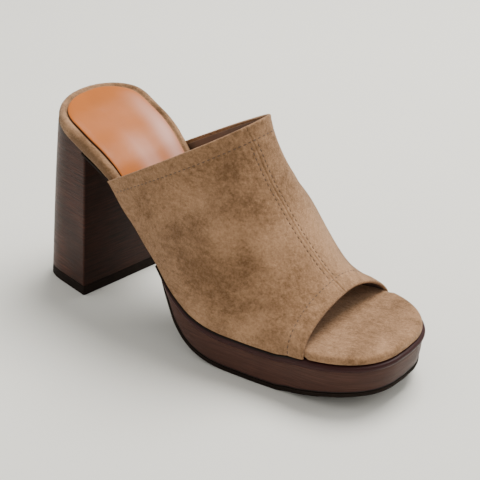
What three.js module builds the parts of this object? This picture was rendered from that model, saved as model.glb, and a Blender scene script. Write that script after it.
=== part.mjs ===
// A heeled platform mule for the right foot: a suede upper open at collar and toe, a wrapped footbed with a
// smooth leather sock, a tapered platform, a thin rubber outsole, and a flared stacked block heel with its lift.
// Millimetres. X runs from the heel to the toe, Y to the wearer's left (the inner side), Z up from the floor.
import * as THREE from "three";

// Driving dimensions.
const SHOE_LENGTH = 233;
const BALL_WIDTH = 84;
const PLATFORM_HEIGHT = 23.6;
const HEEL_RISE = 76.4;
const TOE_SPRING = 10;
const COLLAR_HEIGHT = 128;
const UPPER_WALL = 1.8;
const RIM_THICKNESS = 8;
const TOE_BOARD_THICKNESS = 4.6;
const SOCK_THICKNESS = 1.2;
const SOCK_MARGIN = 4.8;
const SOLE_THICKNESS = 2.8;
const ARCH_SOLE_THICKNESS = 1.8;
const HEEL_TOP_WIDTH = 57;
const HEEL_FLARE_OUTER = 7.5;
const HEEL_FLARE_INNER = 4.5;
const HEEL_DEPTH = 42;
const HEEL_BACK_TOP = 1.5;
const HEEL_BACK_BOTTOM = 0;
const HEEL_TURN_DEG = -7.5;
const HEEL_PIVOT_FORWARD = 29.4;
const LIFT_HEIGHT = 6;
const CLEARANCE = 0.3;

// Rounded ends of the plan: length and fullness of the heel and toe rounding.
const HEEL_ROUND = { length: 28.4, power: 2 };
const TOE_ROUND = { length: 42.5, power: 2.6 };
const HEEL_BACK_ROUND_TOP = { length: 26, power: 2.3 };
const HEEL_BACK_ROUND_BOTTOM = { length: 24, power: 4 };

// Plan of the shoe at the footbed's edge: where its middle lies and how wide it is each way,
// along SHOE_LENGTH, as shares of BALL_WIDTH.
const PLAN = [
  { at: 0.0, middle: 0.0, half: 0.38 },
  { at: 0.176, middle: -0.058, half: 0.377 },
  { at: 0.33, middle: -0.118, half: 0.347 },
  { at: 0.416, middle: -0.119, half: 0.391 },
  { at: 0.498, middle: -0.101, half: 0.457 },
  { at: 0.601, middle: -0.061, half: 0.49 },
  { at: 0.687, middle: -0.025, half: 0.493 },
  { at: 0.815, middle: 0.01, half: 0.474 },
  { at: 1.0, middle: 0.012, half: 0.411 },
];

// Side view of the footbed's underside: its height over the platform, as shares of HEEL_RISE and TOE_SPRING.
const SIDE = [
  { at: 0.0, heel: 1.0, toe: 0.0 },
  { at: 0.079, heel: 0.974, toe: 0.0 },
  { at: 0.176, heel: 0.876, toe: 0.0 },
  { at: 0.223, heel: 0.825, toe: 0.0 },
  { at: 0.266, heel: 0.755, toe: 0.0 },
  { at: 0.3, heel: 0.666, toe: 0.0 },
  { at: 0.33, heel: 0.575, toe: 0.0 },
  { at: 0.378, heel: 0.437, toe: 0.0 },
  { at: 0.429, heel: 0.313, toe: 0.0 },
  { at: 0.498, heel: 0.149, toe: 0.0 },
  { at: 0.549, heel: 0.055, toe: 0.0 },
  { at: 0.601, heel: 0.012, toe: 0.0 },
  { at: 0.644, heel: 0.0, toe: 0.0 },
  { at: 0.764, heel: 0.0, toe: 0.0 },
  { at: 0.803, heel: 0.0, toe: 0.17 },
  { at: 0.931, heel: 0.0, toe: 0.44 },
  { at: 1.0, heel: 0.0, toe: 0.54 },
];

// How much of PLATFORM_HEIGHT lies under the footbed: none in the arch, all of it at the ball.
const WEDGE = [
  { at: 0.0, share: 0.0 },
  { at: 0.378, share: 0.0 },
  { at: 0.418, share: 0.067 },
  { at: 0.442, share: 0.29 },
  { at: 0.464, share: 0.557 },
  { at: 0.488, share: 0.86 },
  { at: 0.519, share: 0.995 },
  { at: 0.56, share: 1.01 },
  { at: 0.601, share: 1.005 },
  { at: 0.644, share: 1.0 },
  { at: 0.764, share: 1.0 },
  { at: 0.815, share: 0.99 },
  { at: 0.858, share: 0.925 },
  { at: 0.901, share: 0.86 },
  { at: 0.953, share: 0.815 },
  { at: 1.0, share: 0.8 },
];

// Sections of the upper from the collar to the toe opening. Each starts on the outer side, passes over the
// crown and ends on the inner side; lengths are shares of SHOE_LENGTH, BALL_WIDTH and COLLAR_HEIGHT.
const UPPER = [
  { run: 0, outer: 0.265, inner: 0.26, crownX: 0.586, crownY: 0.044, crownZ: 1, fullOuter: 2.12, fullInner: 2.22 },
  { run: 0.25, outer: 0.418, inner: 0.442, crownX: 0.632, crownY: 0.043, crownZ: 0.828, fullOuter: 2.09, fullInner: 2.03 },
  { run: 0.5, outer: 0.567, inner: 0.592, crownX: 0.675, crownY: 0.057, crownZ: 0.69, fullOuter: 2.08, fullInner: 1.92 },
  { run: 0.75, outer: 0.708, inner: 0.721, crownX: 0.773, crownY: 0.073, crownZ: 0.417, fullOuter: 2.03, fullInner: 1.75 },
  { run: 1, outer: 0.841, inner: 0.836, crownX: 0.82, crownY: 0.107, crownZ: 0.352, fullOuter: 1.9, fullInner: 1.8 },
];

// How far the upper's edge wraps below the footbed in the arch, how far it stays over it elsewhere and at the
// collar's ends, the length over which the wrap grows from there, and how far the upper stands out there.
const UPPER_WRAP = 1.8;
const UPPER_LIFT = 0.15;
const COLLAR_END_LIFT = 2.4;
const UPPER_WRAP_GROWS = 14;
const COLLAR_STAND = 1.6;
const COLLAR_STAND_FADE = 35;

// Length over which the footbed's rim steps in under the upper, the room left to the upper's inside there, and
// the rim's inset in the toe opening.
const RIM_STEP_BACK = 3;
const RIM_STEP = 10;
const UPPER_ROOM = 0.8;
const TOE_EDGE_ROOM = 3;
const TOE_BOARD_INSET = 0.6;

// How far the outsole's edge lies in from the platform's outline, and from the upper's inside in the arch.
const OUTSOLE_INSET = 1.1;
const ARCH_SOLE_INSET = 1.2;

// Where pieces end along SHOE_LENGTH, as shares of it.
const SOCK_END = 0.6;
const PLATFORM_START = 0.43;
const UPPER_UNWRAPS = 0.37;
const OUTSOLE_WIDENS = 0.39;
const OUTSOLE_WIDE = 0.46;
const BOARD_THINS = 0.3;
const BOARD_THIN = 0.62;

// Length over which a slanted end straightens out.
const SLANT_FADE = 30;

// Stations that every layer is drawn with, so that layers bend at the same places: spans of SHOE_LENGTH, each
// with its number of steps. The first and the last span follow the round heel and toe.
const SPANS = [
  { to: 0.125, steps: 8 },
  { to: 0.378, steps: 7 },
  { to: 0.565, steps: 11 },
  { to: 0.81, steps: 6 },
  { to: 1.0, steps: 11 },
];

// How many sections the upper and the heel are drawn with.
const SECTION_ROWS = 24;
const SECTION_COLUMNS = 36;
const HEEL_STATIONS = 16;

const clamp = THREE.MathUtils.clamp;
const lerp = THREE.MathUtils.lerp;
const smoothstep = THREE.MathUtils.smoothstep;

// A smooth curve through a table's column that never swings past its rows (monotone cubic).
function through(rows, along, key) {
  const xs = rows.map((row) => row[along]);
  const ys = rows.map((row) => row[key]);
  const last = xs.length - 1;
  const rise = xs.slice(1).map((x, i) => (ys[i + 1] - ys[i]) / (x - xs[i]));
  const slope = xs.map((x, i) => {
    if (i === 0) return rise[0];
    if (i === last) return rise[last - 1];
    if (rise[i - 1] * rise[i] <= 0) return 0;
    const before = xs[i] - xs[i - 1];
    const after = xs[i + 1] - xs[i];
    const total = 3 * (before + after);
    return total / ((2 * after + before) / rise[i - 1] + (after + 2 * before) / rise[i]);
  });
  return (x) => {
    const at = clamp(x, xs[0], xs[last]);
    let i = 0;
    while (i < last - 1 && at > xs[i + 1]) i += 1;
    const width = xs[i + 1] - xs[i];
    const t = (at - xs[i]) / width;
    const t2 = t * t;
    const t3 = t2 * t;
    const value = (2 * t3 - 3 * t2 + 1) * ys[i] + (3 * t2 - 2 * t3) * ys[i + 1];
    return value + width * ((t3 - 2 * t2 + t) * slope[i] + (t3 - t2) * slope[i + 1]);
  };
}

const planMiddle = through(PLAN, "at", "middle");
const planHalf = through(PLAN, "at", "half");
const sideHeel = through(SIDE, "at", "heel");
const sideToe = through(SIDE, "at", "toe");
const wedgeShare = through(WEDGE, "at", "share");

// The share of full width that is left at a distance from a rounded end.
function roundEnd(distance, round, inset) {
  const t = clamp(1 - (distance - inset) / (round.length - inset), 0, 1);
  return Math.pow(1 - Math.pow(t, round.power), 1 / round.power);
}

// The shoe's outline at x, drawn in by inset (drawn out where inset is negative).
function outline(x, inset = 0) {
  const closing = roundEnd(x, HEEL_ROUND, inset) * roundEnd(SHOE_LENGTH - x, TOE_ROUND, inset);
  const half = (BALL_WIDTH * planHalf(x / SHOE_LENGTH) - inset) * closing;
  const middle = BALL_WIDTH * planMiddle(x / SHOE_LENGTH);
  return { outer: middle - half, inner: middle + half };
}

function footbedUnder(x) {
  const at = x / SHOE_LENGTH;
  return PLATFORM_HEIGHT + HEEL_RISE * sideHeel(at) + TOE_SPRING * sideToe(at);
}

function slopeOf(height, x) {
  const step = 0.5;
  return (height(x + step) - height(x - step)) / (2 * step);
}

// Height that a layer takes up where the surface under it slopes.
function upright(thickness, height, x) {
  return thickness * Math.hypot(1, slopeOf(height, x));
}

function soleUnder(x) {
  const thin = CLEARANCE + upright(ARCH_SOLE_THICKNESS, footbedUnder, x);
  return footbedUnder(x) - lerp(thin, PLATFORM_HEIGHT, wedgeShare(x / SHOE_LENGTH));
}

function soleTop(x) {
  const share = clamp(wedgeShare(x / SHOE_LENGTH), 0, 1);
  const thickness = lerp(ARCH_SOLE_THICKNESS, SOLE_THICKNESS, share);
  return Math.min(soleUnder(x) + upright(thickness, soleUnder, x), footbedUnder(x) - CLEARANCE);
}

function boardThickness(x) {
  return lerp(RIM_THICKNESS, TOE_BOARD_THICKNESS, smoothstep(x / SHOE_LENGTH, BOARD_THINS, BOARD_THIN));
}

function footbedTop(x) {
  return footbedUnder(x) + boardThickness(x);
}

// Ends of the stretch where the upper hides the footbed's side.
const COLLAR_START = SHOE_LENGTH * Math.min(UPPER[0].outer, UPPER[0].inner);
const TOE_EDGE = SHOE_LENGTH * UPPER[UPPER.length - 1].outer;

// How far the upper's foot stands out of the outline at x.
function collarStand(x) {
  return COLLAR_STAND * (1 - smoothstep(x, COLLAR_START, COLLAR_START + COLLAR_STAND_FADE));
}

// How far in from the outline the space under the upper's foot starts.
function insideUpper(x) {
  return UPPER_WALL - collarStand(x) + UPPER_ROOM;
}

// The footbed steps in under the upper and comes out again in the toe opening.
function footbedInset(x) {
  const goesUnder = smoothstep(x, COLLAR_START - RIM_STEP_BACK, COLLAR_START);
  const comesOut = smoothstep(x, TOE_EDGE + TOE_EDGE_ROOM, TOE_EDGE + RIM_STEP);
  return lerp(goesUnder * insideUpper(x), TOE_BOARD_INSET, comesOut);
}

// The heel's own place: a pivot on the heel seat and the direction it is turned to.
const HEEL_TURN = THREE.MathUtils.degToRad(HEEL_TURN_DEG);
const HEEL_PIVOT = { x: HEEL_PIVOT_FORWARD, y: BALL_WIDTH * planMiddle(HEEL_PIVOT_FORWARD / SHOE_LENGTH) };

function fromHeel(forward, across) {
  return {
    x: HEEL_PIVOT.x + (forward - HEEL_PIVOT.x) * Math.cos(HEEL_TURN) - across * Math.sin(HEEL_TURN),
    y: HEEL_PIVOT.y + (forward - HEEL_PIVOT.x) * Math.sin(HEEL_TURN) + across * Math.cos(HEEL_TURN),
  };
}

// Where the heel's front face crosses a line at y.
function heelFront(y) {
  const middle = fromHeel(HEEL_DEPTH, 0);
  return middle.x - (y - middle.y) * Math.tan(HEEL_TURN);
}

// Places of the stations. They crowd towards the two round ends.
const STATIONS = SPANS.flatMap(({ to, steps }, span) => {
  const from = span === 0 ? 0 : SPANS[span - 1].to;
  return Array.from({ length: steps }, (_, i) => {
    const t = (i + 1) / steps;
    if (span === 0) return to * (1 - Math.cos((t * Math.PI) / 2));
    if (span === SPANS.length - 1) return lerp(from, to, Math.sin((t * Math.PI) / 2));
    return lerp(from, to, t);
  });
}).map((share) => share * SHOE_LENGTH);
STATIONS.unshift(0);

// The stations of a layer that starts at from and ends at the toe or at to. At a round end they shift inwards
// with the inset, and the shift fades out along the rounding.
function layerStations(from, to, backInset, frontInset) {
  const inner = STATIONS.filter((x) => x > from + 1 && x < to - 1);
  const all = from === 0 ? [...STATIONS.filter((x) => x <= from + 1), ...inner] : [from, ...inner];
  all.push(...(to === SHOE_LENGTH ? STATIONS.filter((x) => x >= to - 1) : [to]));
  return all.map((x) => {
    const back = Math.pow(clamp(1 - x / HEEL_ROUND.length, 0, 1), 2) * backInset;
    const front = Math.pow(clamp(1 - (SHOE_LENGTH - x) / TOE_ROUND.length, 0, 1), 2) * frontInset;
    return x + back - front;
  });
}

function closedMesh(points, faces) {
  const geometry = new THREE.BufferGeometry();
  geometry.setAttribute("position", new THREE.Float32BufferAttribute(points.flat(), 3));
  geometry.setIndex(faces.flat());
  geometry.computeVertexNormals();
  return geometry;
}

// Joins a stack of outlines into one closed body, lowest first. Each outline runs from its back to its front
// as an outer and an inner row of points; a row that starts or ends in the same point as its fellow is round there.
function stack(outlines) {
  const points = [];
  const faces = [];
  const quad = (...corners) => {
    const [a, b, c, d] = corners;
    if (a !== b && b !== c) faces.push([a, b, c]);
    if (c !== d && d !== a) faces.push([a, c, d]);
  };
  const levels = outlines.map(({ outer, inner }) => {
    const add = (point) => points.push(point) - 1;
    const outerRow = outer.map(add);
    const same = (i) => inner[i][1] === outer[i][1];
    return { outer: outerRow, inner: inner.map((point, i) => (same(i) ? outerRow[i] : add(point))) };
  });
  const count = outlines[0].outer.length - 1;
  const low = levels[0];
  const high = levels[levels.length - 1];
  for (let i = 0; i < count; i += 1) {
    quad(low.outer[i], low.inner[i], low.inner[i + 1], low.outer[i + 1]);
    quad(high.outer[i], high.outer[i + 1], high.inner[i + 1], high.inner[i]);
  }
  for (let r = 0; r + 1 < levels.length; r += 1) {
    const under = levels[r];
    const over = levels[r + 1];
    for (let i = 0; i < count; i += 1) {
      quad(under.outer[i], under.outer[i + 1], over.outer[i + 1], over.outer[i]);
      quad(under.inner[i], over.inner[i], over.inner[i + 1], under.inner[i + 1]);
    }
    if (under.inner[0] !== under.outer[0]) {
      quad(under.inner[0], under.outer[0], over.outer[0], over.inner[0]);
    }
    if (under.inner[count] !== under.outer[count]) {
      quad(under.outer[count], under.inner[count], over.inner[count], over.outer[count]);
    }
  }
  return closedMesh(points, faces);
}

// A layer of the shoe between two heights, inside the shoe's outline. Each ring has an inset and a level
// from 0 (under) to 1 (top); a round end draws in with the inset. backAt slants a straight back end.
function layer({ from = 0, to = SHOE_LENGTH, rings, under, top, insetAt = () => 0, backAt = () => from }) {
  return stack(
    rings.map((ring) => {
      const place = (station, y) => {
        const x = station + (backAt(y) - from) * clamp(1 - (station - from) / SLANT_FADE, 0, 1);
        return [x, y, lerp(under(x), top(x), ring.level)];
      };
      const xs = layerStations(from, to, ring.inset + insetAt(from), ring.inset + insetAt(to));
      const rows = xs.map((x, i) => {
        const edge = outline(x, ring.inset + insetAt(x));
        const middle = (edge.outer + edge.inner) / 2;
        const isTip = (i === 0 && from === 0) || (i === xs.length - 1 && to === SHOE_LENGTH);
        return isTip ? [place(x, middle), place(x, middle)] : [place(x, edge.outer), place(x, edge.inner)];
      });
      return { outer: rows.map((row) => row[0]), inner: rows.map((row) => row[1]) };
    }),
  );
}

// The footbed board with its rounded, wrapped edge.
function footbed() {
  return layer({
    rings: [
      { inset: 1.2, level: 0 },
      { inset: 0, level: 0.3 },
      { inset: 0.2, level: 0.6 },
      { inset: 1.4, level: 0.88 },
      { inset: 3.6, level: 1 },
    ],
    under: footbedUnder,
    top: footbedTop,
    insetAt: footbedInset,
  });
}

// The smooth leather sock on the heel seat, running in under the upper.
function sock() {
  const rest = (x) => footbedTop(x) + CLEARANCE;
  return layer({
    to: SHOE_LENGTH * SOCK_END,
    rings: [
      { inset: SOCK_MARGIN, level: 0 },
      { inset: SOCK_MARGIN, level: 0.6 },
      { inset: SOCK_MARGIN + 0.6, level: 1 },
    ],
    under: rest,
    top: (x) => rest(x) + upright(SOCK_THICKNESS, footbedTop, x),
  });
}

// The platform, with a rounded lip at its top edge and sides that draw in towards the outsole.
function platform() {
  return layer({
    from: SHOE_LENGTH * PLATFORM_START,
    rings: [
      { inset: 1.4, level: 0 },
      { inset: 0.6, level: 0.3 },
      { inset: 0, level: 0.78 },
      { inset: -0.9, level: 0.86 },
      { inset: -1.0, level: 0.93 },
      { inset: -0.2, level: 1 },
    ],
    under: (x) => soleTop(x) + CLEARANCE,
    top: (x) => footbedUnder(x) - CLEARANCE,
  });
}

// The thin outsole, from the heel's front face up the arch, under the platform and round the toe.
function outsole() {
  return layer({
    from: heelFront(0) + CLEARANCE,
    backAt: (y) => heelFront(y) + CLEARANCE,
    rings: [
      { inset: 0.5, level: 0 },
      { inset: 0, level: 0.3 },
      { inset: 0, level: 1 },
    ],
    under: soleUnder,
    top: soleTop,
    insetAt: (x) =>
      lerp(insideUpper(x) + ARCH_SOLE_INSET, OUTSOLE_INSET, smoothstep(x / SHOE_LENGTH, OUTSOLE_WIDENS, OUTSOLE_WIDE)),
  });
}

// One outline of the heel at a share of its height: a flat front face, straight sides and a round back that
// flare towards the floor, turned to the heel seat's own direction.
function heelOutline(share, height) {
  const flare = 1 - share;
  const outerHalf = HEEL_TOP_WIDTH / 2 + HEEL_FLARE_OUTER * flare;
  const innerHalf = HEEL_TOP_WIDTH / 2 + HEEL_FLARE_INNER * flare;
  const round = {
    length: lerp(HEEL_BACK_ROUND_BOTTOM.length, HEEL_BACK_ROUND_TOP.length, share),
    power: lerp(HEEL_BACK_ROUND_BOTTOM.power, HEEL_BACK_ROUND_TOP.power, share),
  };
  const back = lerp(HEEL_BACK_BOTTOM, HEEL_BACK_TOP, share);
  const place = (forward, across) => {
    const { x, y } = fromHeel(forward, across);
    return [x, y, height(x)];
  };
  const rows = Array.from({ length: HEEL_STATIONS + 1 }, (_, i) => {
    const forward = lerp(back, HEEL_DEPTH, 1 - Math.cos((i / HEEL_STATIONS) * (Math.PI / 2)));
    const close = roundEnd(forward - back, round, 0);
    return [place(forward, -outerHalf * close), place(forward, innerHalf * close)];
  });
  return { outer: rows.map((row) => row[0]), inner: rows.map((row) => row[1]) };
}

// The stacked block heel between its lift and the footbed.
function heelBlock() {
  const low = LIFT_HEIGHT + CLEARANCE;
  const seatUnder = (x) => footbedUnder(x) - CLEARANCE;
  const total = seatUnder(HEEL_DEPTH);
  const shares = [0, 0.3, 0.6, 0.85, 1];
  return stack(
    shares.map((share) =>
      heelOutline(lerp(low / total, 1, share), (x) => lerp(low, seatUnder(x), share)),
    ),
  );
}

// The rubber lift that the heel stands on, with a slightly rounded foot.
function topLift() {
  const total = footbedUnder(HEEL_DEPTH) - CLEARANCE;
  return stack([0, 1].map((share) => heelOutline((share * LIFT_HEIGHT) / total, () => share * LIFT_HEIGHT)));
}

const upperCurves = Object.fromEntries(
  Object.keys(UPPER[0])
    .filter((key) => key !== "run")
    .map((key) => [key, through(UPPER, "run", key)]),
);

// Where the upper's lower edge runs on one side: on the platform at the ball, wrapped under the footbed in the
// arch, and standing out a little where the collar ends.
function upperFoot(x, side) {
  const inArch = 1 - smoothstep(x / SHOE_LENGTH, UPPER_UNWRAPS, PLATFORM_START);
  const grown = smoothstep(x, COLLAR_START, COLLAR_START + UPPER_WRAP_GROWS);
  const edge = outline(x, -collarStand(x));
  const lift = lerp(COLLAR_END_LIFT, UPPER_LIFT, grown);
  return new THREE.Vector3(x, edge[side], footbedUnder(x) + lift - UPPER_WRAP * inArch * grown);
}

// A point on the upper's outer surface: run goes from the collar to the toe opening, and turn from -1 at the
// outer foot over 0 at the crown to 1 at the inner foot.
function upperPoint(run, turn) {
  const at = Object.fromEntries(Object.entries(upperCurves).map(([key, curve]) => [key, curve(run)]));
  const outer = upperFoot(at.outer * SHOE_LENGTH, "outer");
  const inner = upperFoot(at.inner * SHOE_LENGTH, "inner");
  const crown = new THREE.Vector3(at.crownX * SHOE_LENGTH, at.crownY * BALL_WIDTH, at.crownZ * COLLAR_HEIGHT);
  const centre = outer.clone().lerp(inner, (crown.y - outer.y) / (inner.y - outer.y));
  const foot = turn < 0 ? outer : inner;
  const power = 2 / (turn < 0 ? at.fullOuter : at.fullInner);
  const angle = ((1 - Math.abs(turn)) * Math.PI) / 2;
  const across = Math.pow(Math.max(Math.cos(angle), 0), power);
  const up = Math.pow(Math.sin(angle), power);
  return centre
    .clone()
    .addScaledVector(foot.clone().sub(centre), Math.abs(turn) < 1e-9 ? 0 : across)
    .addScaledVector(crown.clone().sub(centre), up);
}

// The same point on the lining side, one wall further in.
function upperInside(run, turn) {
  const step = 0.01;
  const along = upperPoint(Math.min(run + step, 1), turn).sub(upperPoint(Math.max(run - step, 0), turn));
  const round = upperPoint(run, Math.min(turn + step, 1)).sub(upperPoint(run, Math.max(turn - step, -1)));
  const inward = round.cross(along).normalize();
  const outside = upperPoint(run, turn);
  const inside = outside.clone().addScaledVector(inward, UPPER_WALL);
  if (Math.abs(turn) === 1) inside.z = outside.z;
  return inside;
}

// The upper: one hollow wall, open at the collar, at the toe and underneath.
function upper() {
  const points = [];
  const faces = [];
  const index = (skin, row, column) => (skin * (SECTION_ROWS + 1) + row) * (SECTION_COLUMNS + 1) + column;
  [upperPoint, upperInside].forEach((surface) => {
    for (let row = 0; row <= SECTION_ROWS; row += 1) {
      for (let column = 0; column <= SECTION_COLUMNS; column += 1) {
        points.push(surface(row / SECTION_ROWS, (2 * column) / SECTION_COLUMNS - 1).toArray());
      }
    }
  });
  const quad = (a, b, c, d) => faces.push([a, b, c], [a, c, d]);
  for (let row = 0; row < SECTION_ROWS; row += 1) {
    for (let column = 0; column < SECTION_COLUMNS; column += 1) {
      const corners = (skin) => [
        index(skin, row, column),
        index(skin, row + 1, column),
        index(skin, row + 1, column + 1),
        index(skin, row, column + 1),
      ];
      quad(...corners(0));
      quad(...corners(1).reverse());
    }
    [0, SECTION_COLUMNS].forEach((column) => {
      const edge = [index(0, row, column), index(1, row, column), index(1, row + 1, column), index(0, row + 1, column)];
      quad(...(column === 0 ? edge : edge.reverse()));
    });
  }
  for (let column = 0; column < SECTION_COLUMNS; column += 1) {
    [0, SECTION_ROWS].forEach((row) => {
      const edge = [index(0, row, column), index(0, row, column + 1), index(1, row, column + 1), index(1, row, column)];
      quad(...(row === 0 ? edge : edge.reverse()));
    });
  }
  return closedMesh(points, faces);
}

const suede = new THREE.MeshStandardMaterial({ color: 0x9c7b5c, roughness: 0.95, metalness: 0 });
const tanLeather = new THREE.MeshStandardMaterial({ color: 0xc2854f, roughness: 0.5, metalness: 0 });
const stackedWood = new THREE.MeshStandardMaterial({ color: 0x463329, roughness: 0.5, metalness: 0 });
const blackRubber = new THREE.MeshStandardMaterial({ color: 0x1d1a18, roughness: 0.7, metalness: 0 });

function piece(name, geometry, material) {
  const mesh = new THREE.Mesh(geometry, material);
  mesh.name = name;
  return mesh;
}

const shoe = new THREE.Group();
shoe.add(piece("outsole", outsole(), blackRubber));
shoe.add(piece("platform", platform(), stackedWood));
shoe.add(piece("heel_block", heelBlock(), stackedWood));
shoe.add(piece("top_lift", topLift(), blackRubber));
shoe.add(piece("footbed", footbed(), suede));
shoe.add(piece("sock", sock(), tanLeather));
shoe.add(piece("upper", upper(), suede));

// The origin is under the middle of the shoe, on the floor.
const box = new THREE.Box3().setFromObject(shoe);
const middle = box.getCenter(new THREE.Vector3());
shoe.position.set(-middle.x, -middle.y, -box.min.z);

const mule = new THREE.Group();
mule.add(shoe);
export default mule;
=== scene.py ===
"""A heeled platform mule for the right foot: suede upper, wrapped footbed, smooth leather sock, stacked
platform and flared block heel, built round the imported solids. Metres; X from heel to toe, Y to the inner
side, Z up."""

import math

import bpy
import numpy as np
from bpy.props import FloatProperty, FloatVectorProperty, PointerProperty
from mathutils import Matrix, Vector, noise


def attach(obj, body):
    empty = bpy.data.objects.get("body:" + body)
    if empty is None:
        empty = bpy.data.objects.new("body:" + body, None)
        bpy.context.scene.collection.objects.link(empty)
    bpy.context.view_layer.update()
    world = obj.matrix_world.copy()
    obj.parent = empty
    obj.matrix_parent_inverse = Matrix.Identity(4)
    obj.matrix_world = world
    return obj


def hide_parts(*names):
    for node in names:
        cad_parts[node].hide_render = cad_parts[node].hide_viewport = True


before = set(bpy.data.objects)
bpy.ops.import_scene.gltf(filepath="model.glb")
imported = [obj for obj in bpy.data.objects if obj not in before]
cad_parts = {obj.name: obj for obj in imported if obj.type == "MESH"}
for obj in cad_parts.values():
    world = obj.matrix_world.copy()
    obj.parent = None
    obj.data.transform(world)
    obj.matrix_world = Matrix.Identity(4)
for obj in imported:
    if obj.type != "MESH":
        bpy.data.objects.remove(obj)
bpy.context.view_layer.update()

bl_info = {
    "name": "Heeled mule",
    "version": (1, 0, 0),
    "blender": (4, 5, 0),
    "location": "View3D > Sidebar > Mule",
    "description": "Builds a suede platform mule with a stacked block heel",
    "category": "Add Mesh",
}

MM = 0.001


def table(names, *rows):
    """Rows of numbers as named columns; the first column is what the others are read along."""
    return dict(zip(names.split(), np.array(rows, float).T))


# The shoe's sizes.
LENGTH = 233 * MM
BALL_WIDTH = 84 * MM
PLATFORM_HEIGHT = 23.6 * MM
HEEL_RISE = 76.4 * MM
TOE_SPRING = 10 * MM
COLLAR_HEIGHT = 128 * MM
UPPER_WALL = 1.8 * MM
RIM_THICKNESS = 8 * MM
TOE_BOARD_THICKNESS = 4.6 * MM
SOCK_THICKNESS = 1.2 * MM
SOCK_MARGIN = 4.8 * MM
SOLE_THICKNESS = 2.8 * MM
ARCH_SOLE_THICKNESS = 1.8 * MM
CLEARANCE = 0.3 * MM
HEEL_TOP_WIDTH = 57 * MM
HEEL_FLARE_OUTER = 7.5 * MM
HEEL_FLARE_INNER = 4.5 * MM
HEEL_DEPTH = 42 * MM
HEEL_BACK_TOP = 1.5 * MM
HEEL_TURN = math.radians(-7.5)
HEEL_PIVOT = 29.4 * MM
LIFT_HEIGHT = 6 * MM
HEEL_ROUND = (28.4 * MM, 2)
TOE_ROUND = (42.5 * MM, 2.6)
HEEL_BACK_ROUND_TOP = (26 * MM, 2.3)
HEEL_BACK_ROUND_BOTTOM = (24 * MM, 4)
COLLAR_STAND = 1.6 * MM
COLLAR_STAND_FADE = 35 * MM
UPPER_WRAP = 1.8 * MM
UPPER_LIFT = 0.15 * MM
COLLAR_END_LIFT = 2.4 * MM
UPPER_WRAP_GROWS = 14 * MM
UPPER_UNWRAPS = 0.37
PLATFORM_START = 0.43
SOCK_END = 0.6
SLANT_FADE = 30 * MM

# How the layers step in and out where they meet.
RIM_SNUG = 0.1 * MM
RIM_STEP_BACK = 3 * MM
TOE_STEP = (0.3 * MM, 2.5 * MM)
TOE_BOARD_INSET = 0.6 * MM
SOCK_RECESS = 1.1 * MM
SOCK_SINK = 0.9 * MM
SOCK_PROUD = 0.75 * MM
SOCK_BACK_MARGIN = 2.0 * MM
SOCK_BACK_FADE = 24 * MM
SOCK_INNER_MARGIN = 1.5 * MM
SOCK_CORNER_MARGIN = 1.3 * MM
SOLE_INSET_BACK = 0.7 * MM
SOLE_INSET_ARCH = 1.9 * MM
SOLE_INSET_PLATFORM = 1.1 * MM
SOLE_TUCKS_IN = (-4 * MM, 2 * MM)
SOLE_COMES_OUT = (0.39, 0.46)
RECESS_STARTS = (0.78, 0.92)
RECESS_ENDS = (0.5, SOCK_END)
SOCK_SHIFT_STARTS = (2 * MM, 18 * MM)
SOCK_CORNER = (17 * MM, 10 * MM)
LIFT_BEVEL = 0.5 * MM

# Rolls and grooves of the suede: height, which is below zero in a groove, and width.
COLLAR_ROW_GROOVE = (-0.22 * MM, 0.7 * MM)
TOE_ROW_GROOVE = (-0.26 * MM, 0.7 * MM)
SEAM_ROW_GROOVE = (-0.14 * MM, 0.5 * MM)
SEAM_GROOVE = (-0.24 * MM, 0.4 * MM)
COLLAR_ROLL = (0.35 * MM, 1.1 * MM)
COLLAR_ROLL_IN = 0.6 * MM
COLLAR_SWELL = 0.1 * MM
TOE_SWELL = 0.12 * MM
SEAM_SWELL = 0.09 * MM
EDGE_FADE = 2 * MM
FOLDED_EDGE = (0.9 * MM, 1.6 * MM)
LINING_EDGE = 1.9 * MM
LINING_GAP = 0.1 * MM

# Marks that the materials read, among them painted shade and painted sheen. Levels and places are shares,
# bands have a place and a width.
LIP_STARTS = (0.785, 0.82)
# Painted shade: a dark line at the top of the platform, under the upper, fading out towards the toe.
LIP_PAINTED_SHADE = (0.95, 0.975)
LIP_PAINTED_SHADE_ENDS = (0.8, 0.86)
SOLE_EDGE_SHOWS = (0.6 * MM, 1.1 * MM)
# Painted shade: how much darker the heel's front face is and how deep the mark reaches, standing in for
# the shade under the arch.
BREAST_SHADE = 0.6
BREAST_DEPTH = 0.4 * MM
# Painted sheen: two paler bands along the sock, standing in for reflections of the lights.
SIDE_SHEEN_BAND = (7 * MM, 6 * MM)
SIDE_SHEEN_BAND_STARTS = (12 * MM, 60 * MM)
MIDDLE_SHEEN_BAND = (24 * MM, 7 * MM)
MIDDLE_SHEEN_BAND_STARTS = (35 * MM, 70 * MM)
# Painted shade: the sock's cut edge is painted dark, standing in for the shade where it meets the rim.
CUT_EDGE_SHADE_WIDTH = 3 * MM
CUT_EDGE_SHADE_LEVEL = 0.72
NAP_AT_REST = 0.3
NAP_FRAY = 7 * MM
NAP_SEED = 7
SEAM_SHADE = 0.2
SEAM_SHADE_WIDTH = 0.45 * MM

# Where the shoe's heel end and middle line lie in the frame.
SHIFT = np.array([-116.12, 3.17, 0]) * MM

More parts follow.
